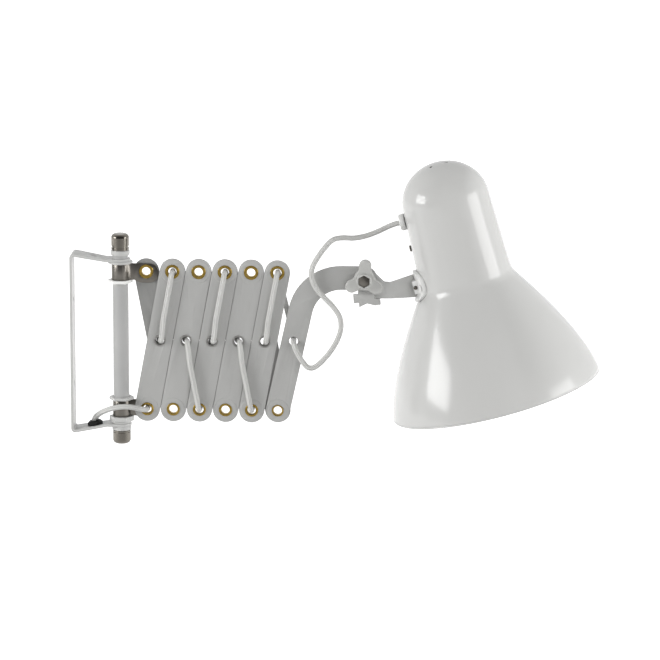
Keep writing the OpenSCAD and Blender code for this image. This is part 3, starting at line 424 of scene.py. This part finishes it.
# Radius by height: the bell is a power curve and the neck a straight taper. Near the fold between them it is
# averaged over the heights around it
def shadeRadius(height):
    s = shadeShape
    offsets = np.linspace(-s["soften"], s["soften"], s["softSamples"])
    h = np.clip(np.asarray(height)[..., None] + offsets, 0, shadeTop)
    flare = 1 - np.clip(h / s["bellHeight"], 0, 1) ** s["bellPower"]
    bell = s["neckRadius"] + (s["rimRadius"] - s["neckRadius"]) * flare
    neck = s["neckRadius"] + (s["domeRadius"] - s["neckRadius"]) * (h - s["bellHeight"]) / s["neckHeight"]
    exact = np.where(h < s["bellHeight"], bell, neck)
    offFold = np.abs(np.asarray(height) - s["bellHeight"])
    near = np.clip(1 - offFold / (s["softReach"] * s["soften"]), 0, 1)
    return exact.mean(axis=-1) * near + exact[..., s["softSamples"] // 2] * (1 - near)


# From the shade's own axis, with its rim at height 0, to its tilted place in the frame
def shadePlace(points):
    s = shadeShape
    t = math.radians(s["tilt"])
    low, high = (np.array(c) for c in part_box("shade"))
    centre = np.array([high[0] - s["rimRadius"] * mm * math.cos(t), (low[1] + high[1]) / 2,
                       low[2] + s["rimRadius"] * mm * math.sin(t)])
    turn = np.array([[math.cos(t), 0, -math.sin(t)], [0, 1, 0], [math.sin(t), 0, math.cos(t)]])
    return points @ turn.T + centre


# Half of the shade's section: down its inside from the pole, round the lip, and up its outside to the pole
def shadeProfile():
    s = shadeShape
    foldLow, foldHigh = s["bellHeight"] - s["foldReach"], s["bellHeight"] + s["foldReach"]
    straight = np.concatenate([np.linspace(2 * s["lip"], foldLow - s["rowGap"], s["bellRows"]),
                               np.linspace(foldLow, foldHigh, s["foldRows"]),
                               np.linspace(foldHigh + s["rowGap"], shadeTop - s["domeGap"], s["neckRows"])])
    turn = np.linspace(0, math.pi / 2, s["domeRows"])
    outR = np.concatenate([shadeRadius(straight), s["domeRadius"] * np.cos(turn)])
    outH = np.concatenate([straight, shadeTop + s["domeHeight"] * np.sin(turn)])
    inR = np.concatenate([shadeRadius(straight) - s["wall"], (s["domeRadius"] - s["wall"]) * np.cos(turn)])
    inH = np.concatenate([straight, shadeTop + (s["domeHeight"] - s["wall"]) * np.sin(turn)])
    lipTurn = np.linspace(*np.radians(s["lipTurn"]), s["lipRows"])
    lipR = s["rimRadius"] - s["lip"] + s["lip"] * np.cos(lipTurn)
    lipH = s["lip"] + s["lip"] * np.sin(lipTurn)
    radius = np.clip(np.concatenate([inR[::-1], lipR, outR]), 0, None)
    return radius, np.concatenate([inH[::-1], lipH, outH])


# The profile carried round the shade's axis
def shadeShell():
    s = shadeShape
    radius, height = shadeProfile()
    angle = np.linspace(0, 2 * np.pi, s["around"], endpoint=False)[None, :]
    r, h = radius[:, None] * mm, height[:, None] * mm + 0 * angle
    points = np.stack([r * np.cos(angle), r * np.sin(angle), h], axis=-1)
    placed = shadePlace(points.reshape(-1, 3)).reshape(points.shape)
    return tidyShell(gridSurface("shadeShell", placed, closedColumns=True), s["weld"] * mm)


# One straight drill for each vent, through the dome
def ventDrills():
    s = shadeShape
    sides = s["ventSides"]
    around = np.linspace(0, 2 * np.pi, sides, endpoint=False)
    drills = bmesh.new()
    for a in np.radians(s["ventTurn"] + 360 / s["vents"] * np.arange(s["vents"])):
        x = s["ventRing"] * math.cos(a) + s["ventDiameter"] / 2 * np.cos(around)
        y = s["ventRing"] * math.sin(a) + s["ventDiameter"] / 2 * np.sin(around)
        heights = [np.full(sides, shadeTop + above) for above in s["drillSpan"]]
        ends = [shadePlace(np.column_stack([x, y, height]) * mm) for height in heights]
        low, high = ([drills.verts.new(c) for c in end] for end in ends)
        drills.faces.new(low[::-1])
        drills.faces.new(high)
        for k in range(sides):
            ahead = (k + 1) % sides
            drills.faces.new([low[k], low[ahead], high[ahead], high[k]])
    bmesh.ops.recalc_face_normals(drills, faces=drills.faces)
    mesh = bpy.data.meshes.new("ventDrills")
    drills.to_mesh(mesh)
    drills.free()
    return addObject("ventDrills", mesh)


def addShade():
    shade = shadeShell()
    drills = ventDrills()
    cut = shade.modifiers.new("vents", "BOOLEAN")
    cut.object = drills
    cut.solver = "EXACT"
    graph = bpy.context.evaluated_depsgraph_get()
    shade.data = bpy.data.meshes.new_from_object(shade.evaluated_get(graph))
    shade.modifiers.clear()
    bpy.data.objects.remove(drills)
    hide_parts("shade")
    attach(shade, "head")
    return shade


shade = addShade()
print("shade made")


# Colour as seen on a screen, 0 to 255, turned into the linear values that Blender's sockets take, by the sRGB
# curve: a straight line for dark tones and a power above them
def screenColour(r, g, b):
    c = np.array([r, g, b]) / 255
    linear = np.where(c <= 0.04045, c / 12.92, ((c + 0.055) / 1.055) ** 2.4)
    return (*linear.tolist(), 1)


# A shader node: its sockets' values, what feeds its sockets, and its other settings
def addNode(tree, kind, values=None, feeds=None, **settings):
    made = tree.nodes.new("ShaderNode" + kind)
    for setting, value in settings.items():
        setattr(made, setting, value)
    for socket, value in (values or {}).items():
        made.inputs[socket].default_value = value
    for socket, source in (feeds or {}).items():
        tree.links.new(source, made.inputs[socket])
    return made


# What every finish shares: noise by its scale and detail, the ramp's two stops, how far the roughness varies,
# and the bump's height in metres
finishDetail = {"grain": 900, "grainDetail": 3, "patchDetail": 4, "stops": (0.3, 0.7), "roughSpread": 0.06,
                "reliefHeight": 0.0004}


# Paint, metal and plastic: two close tones mixed by soft noise, fine grain in the roughness, and a light bump
def addFinish(name, tone, rough, metal=0.0, mottle=0.03, patch=30, bump=0.02):
    d = finishDetail
    finish = bpy.data.materials.new(name)
    finish.use_nodes = True
    tree = finish.node_tree
    shader = tree.nodes["Principled BSDF"]
    shader.inputs["Metallic"].default_value = metal
    place = addNode(tree, "TexCoord").outputs["Object"]
    broad = addNode(tree, "TexNoise", {"Scale": patch, "Detail": d["patchDetail"]}, {"Vector": place})
    fine = addNode(tree, "TexNoise", {"Scale": d["grain"], "Detail": d["grainDetail"]}, {"Vector": place})
    ramp = addNode(tree, "ValToRGB", feeds={"Fac": broad.outputs["Fac"]})
    base = np.array(screenColour(*tone)[:3])
    for stop, position, share in zip(ramp.color_ramp.elements, d["stops"], (1 - mottle, 1 + mottle)):
        stop.position = position
        stop.color = (*np.clip(base * share, 0, 1), 1)
    spread = {"To Min": rough - d["roughSpread"], "To Max": rough + d["roughSpread"]}
    sheen = addNode(tree, "MapRange", spread, {"Value": fine.outputs["Fac"]})
    relief = addNode(tree, "Bump", {"Strength": bump, "Distance": d["reliefHeight"]},
                     {"Height": fine.outputs["Fac"]})
    tree.links.new(ramp.outputs["Color"], shader.inputs["Base Color"])
    tree.links.new(sheen.outputs["Result"], shader.inputs["Roughness"])
    tree.links.new(relief.outputs["Normal"], shader.inputs["Normal"])
    return finish


# The cord's sheath: fine ribs along it take the place of the light bump. They follow the tube's own way
# round, and their height is in metres
sheath = {"tone": (210, 210, 207), "rough": 0.45, "mottle": 0.02, "ribs": 9, "strength": 0.6,
          "ribHeight": 0.0005}


def addSheathFinish(name):
    finish = addFinish(name, sheath["tone"], sheath["rough"], mottle=sheath["mottle"], bump=0.0)
    tree = finish.node_tree
    around = addNode(tree, "UVMap", uv_map="along")
    parts = addNode(tree, "SeparateXYZ", feeds={"Vector": around.outputs["UV"]})
    turns = addNode(tree, "Math", {1: sheath["ribs"] * 2 * math.pi}, {0: parts.outputs["Y"]},
                    operation="MULTIPLY")
    wave = addNode(tree, "Math", feeds={0: turns.outputs[0]}, operation="SINE")
    relief = addNode(tree, "Bump", {"Strength": sheath["strength"], "Distance": sheath["ribHeight"]},
                     {"Height": wave.outputs[0]})
    tree.links.new(relief.outputs["Normal"], tree.nodes["Principled BSDF"].inputs["Normal"])
    return finish


finishSettings = {
    "bracketPaint": {"tone": (196, 196, 194), "rough": 0.3},
    "armPaint": {"tone": (178, 178, 176), "rough": 0.4, "mottle": 0.025},
    # The head strip's paint is the arm paint made lighter: painted light, for the light from the right that
    # falls on the strip
    "stripPaintedLight": {"tone": (204, 204, 202), "rough": 0.36, "mottle": 0.025},
    # The back arms' paint is the arm paint darkened: painted shade, for the shade that falls on them behind
    # the front arms
    "backArmPaintedShade": {"tone": (149, 149, 147), "rough": 0.45, "mottle": 0.04},
    "tubePaint": {"tone": (178, 178, 177), "rough": 0.3},
    "shadeLacquer": {"tone": (201, 201, 199), "rough": 0.16, "mottle": 0.012, "patch": 12, "bump": 0.008},
    "nickelPlate": {"tone": (122, 118, 111), "rough": 0.17, "metal": 1, "mottle": 0.06, "bump": 0.01},
    "darkSteel": {"tone": (128, 124, 118), "rough": 0.34, "metal": 1, "mottle": 0.12, "patch": 120,
                  "bump": 0.03},
    "brassPlate": {"tone": (160, 134, 66), "rough": 0.26, "metal": 1, "mottle": 0.16, "patch": 260},
    "greyPlate": {"tone": (150, 149, 146), "rough": 0.36, "metal": 0.6, "mottle": 0.08, "patch": 260,
                  "bump": 0.03},
    "blackRubber": {"tone": (16, 16, 17), "rough": 0.62, "mottle": 0.2, "bump": 0.08},
    "knobPlastic": {"tone": (186, 186, 183), "rough": 0.42, "mottle": 0.02},
    "whitePlastic": {"tone": (240, 240, 238), "rough": 0.38, "mottle": 0.015, "bump": 0.015},
    "glandPlastic": {"tone": (220, 220, 218), "rough": 0.3, "mottle": 0.015, "bump": 0.015},
}
finishes = {name: addFinish(name, **settings) for name, settings in finishSettings.items()}
finishes["cordSheath"] = addSheathFinish("cordSheath")


def dress(piece, finish):
    piece.data.materials.clear()
    piece.data.materials.append(finishes[finish])


for cord in cords:
    dress(cord, "cordSheath")
dress(shade, "shadeLacquer")
dress(knob, "knobPlastic")

# Every node that keeps its shape: its finish, and the width in millimetres by which its sharp edges are
# eased, or 0 where the node itself shows
nodeLooks = {
    "wall_bracket": ("bracketPaint", 0.4), "spindle_tube": ("tubePaint", 0), "top_cap": ("nickelPlate", 0),
    "bottom_cap": ("nickelPlate", 0), "top_ring_nut": ("bracketPaint", 0),
    "bottom_ring_nut": ("bracketPaint", 0), "top_washer": ("bracketPaint", 0),
    "bottom_washer": ("bracketPaint", 0),
    "lower_thrust_nut": ("bracketPaint", 0.5), "lower_collar": ("bracketPaint", 0.5),
    "cord_grommet": ("blackRubber", 0.4), "lower_hinge_tab": ("darkSteel", 0.25),
    "upper_hinge_tab": ("darkSteel", 0.25), "upper_glide_ring": ("whitePlastic", 0.5),
    "upper_tab_eyelet": ("brassPlate", 0), "head_arm": ("armPaint", 0.35),
    "head_arm_eyelet": ("brassPlate", 0), "knuckle_seat": ("armPaint", 0.6),
    "knuckle_bolt": ("darkSteel", 0.3), "knuckle_nut": ("darkSteel", 0.4),
    # The head strip takes the lightened paint, which is painted light
    "friction_washer": ("blackRubber", 0), "head_strip": ("stripPaintedLight", 0.35),
    "shade_saddle": ("whitePlastic", 0.7), "saddle_screw": ("nickelPlate", 0.15),
    "saddle_rivets": ("whitePlastic", 0.3), "cord_gland": ("glandPlastic", 0.4),
    "lamp_holder": ("whitePlastic", 0.8), "holder_bracket": ("nickelPlate", 0.2),
    "holder_screw": ("darkSteel", 0.4),
}
# The back arms take the darkened arm paint, which is painted shade
for i in range(1, armPairs + 1):
    nodeLooks[f"front_arm_{i}"] = ("armPaint", 0.2)
    nodeLooks[f"back_arm_{i}"] = ("backArmPaintedShade", 0.2)
    nodeLooks[f"arm_eyelets_{i}"] = ("brassPlate", 0)
    nodeLooks[f"mid_rivet_{i}"] = ("greyPlate", 0)

for node, (finish, width) in nodeLooks.items():
    dress(eased(node, width) if width else nodes[node], finish)
print("nodes dressed:", len(nodeLooks))

# The stage: a pale floor far below, a white surround, and soft lamps, of which two show as panels in the
# gloss. Lengths are in metres and power in watts
leftPlace, rightPlace = (-2.6, -1.05, 0.75), (3.1, -0.55, 0.3)
stage = {"floorHeight": -0.42, "floorSize": 12, "floorTone": 0.8, "floorRough": 0.9, "floorLift": 0.6,
         "liftSpan": (0.8, 2), "frontSpan": (-0.6, 0.1), "worldLight": 0.36, "roomFront": 0.12,
         "roomSpan": (-0.45, 0.2)}
lamps = [
    {"name": "leftPanel", "from": leftPlace, "size": (1.65, 1.1), "power": 46, "inGloss": True},
    {"name": "leftFill", "from": leftPlace, "size": (1.65, 1.1), "power": 23, "inGloss": False},
    {"name": "rightPanel", "from": rightPlace, "size": (1.65, 1.9), "power": 43, "inGloss": True},
    {"name": "rightFill", "from": rightPlace, "size": (2.3, 1.9), "power": 32, "inGloss": False},
    {"name": "frontPanel", "from": (2.2, -3.0, 1.3), "size": (2.4, 1.6), "power": 24, "inGloss": False},
]
white = (1, 1, 1, 1)


# 1 for what is seen straight on, in gloss or through glass; 0 for light that falls on things
def seenDirectly(tree):
    rays = addNode(tree, "LightPath")
    total = rays.outputs["Is Camera Ray"]
    for ray in ("Is Glossy Ray", "Is Transmission Ray"):
        either = addNode(tree, "Math", feeds={0: total, 1: rays.outputs[ray]}, operation="MAXIMUM")
        total = either.outputs[0]
    return total


# A map from a span of values to the span from low to 1
def rampUp(tree, source, span, low):
    values = {"From Min": span[0], "From Max": span[1], "To Min": low}
    return addNode(tree, "MapRange", values, {"Value": source}).outputs["Result"]


# The floor shows near white and keeps its shadows: its own diffuse light plus a lift, which in gloss is
# dimmer in front of the lamp
def paleFloor():
    pale = bpy.data.materials.new("paleFloor")
    pale.use_nodes = True
    tree = pale.node_tree
    shader = tree.nodes["Principled BSDF"]
    shader.inputs["Base Color"].default_value = (*[stage["floorTone"]] * 3, 1)
    shader.inputs["Roughness"].default_value = stage["floorRough"]
    place = addNode(tree, "TexCoord").outputs["Object"]
    away = addNode(tree, "VectorMath", feeds={0: place}, operation="LENGTH")
    lift = rampUp(tree, away.outputs["Value"], stage["liftSpan"], stage["floorLift"])
    parts = addNode(tree, "SeparateXYZ", feeds={"Vector": place})
    ahead = rampUp(tree, parts.outputs["Y"], stage["frontSpan"], stage["roomFront"])
    camera = addNode(tree, "LightPath").outputs["Is Camera Ray"]
    share = addNode(tree, "Math", feeds={0: camera, 1: ahead}, operation="MAXIMUM")
    lifted = addNode(tree, "Math", feeds={0: lift, 1: share.outputs[0]}, operation="MULTIPLY")
    glow = addNode(tree, "Emission", feeds={"Strength": lifted.outputs[0]})
    plain = shader.outputs["BSDF"]
    shown = addNode(tree, "AddShader", feeds={0: plain, 1: glow.outputs["Emission"]})
    mix = addNode(tree, "MixShader", feeds={"Fac": seenDirectly(tree), 1: plain, 2: shown.outputs["Shader"]})
    tree.links.new(mix.outputs["Shader"], tree.nodes["Material Output"].inputs["Surface"])
    return pale


def addFloor():
    half = stage["floorSize"] / 2
    corners = [(-half, -half), (half, -half), (half, half), (-half, half)]
    mesh = bpy.data.meshes.new("floor")
    mesh.from_pydata([(x, y, stage["floorHeight"]) for x, y in corners], [], [(0, 1, 2, 3)])
    floor = addObject("floor", mesh)
    floor.data.materials.append(paleFloor())


def addLamp(lamp):
    light = bpy.data.lights.new(lamp["name"], "AREA")
    light.shape = "RECTANGLE"
    light.size, light.size_y = lamp["size"]
    light.energy = lamp["power"]
    holder = addObject(lamp["name"], light)
    holder.location = lamp["from"]
    pointAlong(holder, Vector(cameraView["aim"]) - holder.location)
    holder.visible_glossy = lamp["inGloss"]


# The camera sees white behind everything. In gloss the room is white behind the lamp and dimmer in front of
# it, and what falls on things is an even light
def addRoom():
    world = bpy.data.worlds.new("studio")
    bpy.context.scene.world = world
    world.use_nodes = True
    tree = world.node_tree
    facing = addNode(tree, "TexCoord").outputs["Generated"]
    parts = addNode(tree, "SeparateXYZ", feeds={"Vector": facing})
    room = tree.nodes["Background"]
    room.inputs["Color"].default_value = white
    brightness = rampUp(tree, parts.outputs["Y"], stage["roomSpan"], stage["roomFront"])
    tree.links.new(brightness, room.inputs["Strength"])
    fill = addNode(tree, "Background", {"Color": white, "Strength": stage["worldLight"]})
    backdrop = addNode(tree, "Background", {"Color": white})
    direct = addNode(tree, "MixShader", feeds={"Fac": seenDirectly(tree), 1: fill.outputs["Background"],
                                               2: room.outputs["Background"]})
    camera = addNode(tree, "LightPath").outputs["Is Camera Ray"]
    behind = addNode(tree, "MixShader", feeds={"Fac": camera, 1: direct.outputs["Shader"],
                                               2: backdrop.outputs["Background"]})
    tree.links.new(behind.outputs["Shader"], tree.nodes["World Output"].inputs["Surface"])


addFloor()
for lamp in lamps:
    addLamp(lamp)
addRoom()
bpy.context.scene.view_settings.view_transform = "Standard"
print("stage lit")
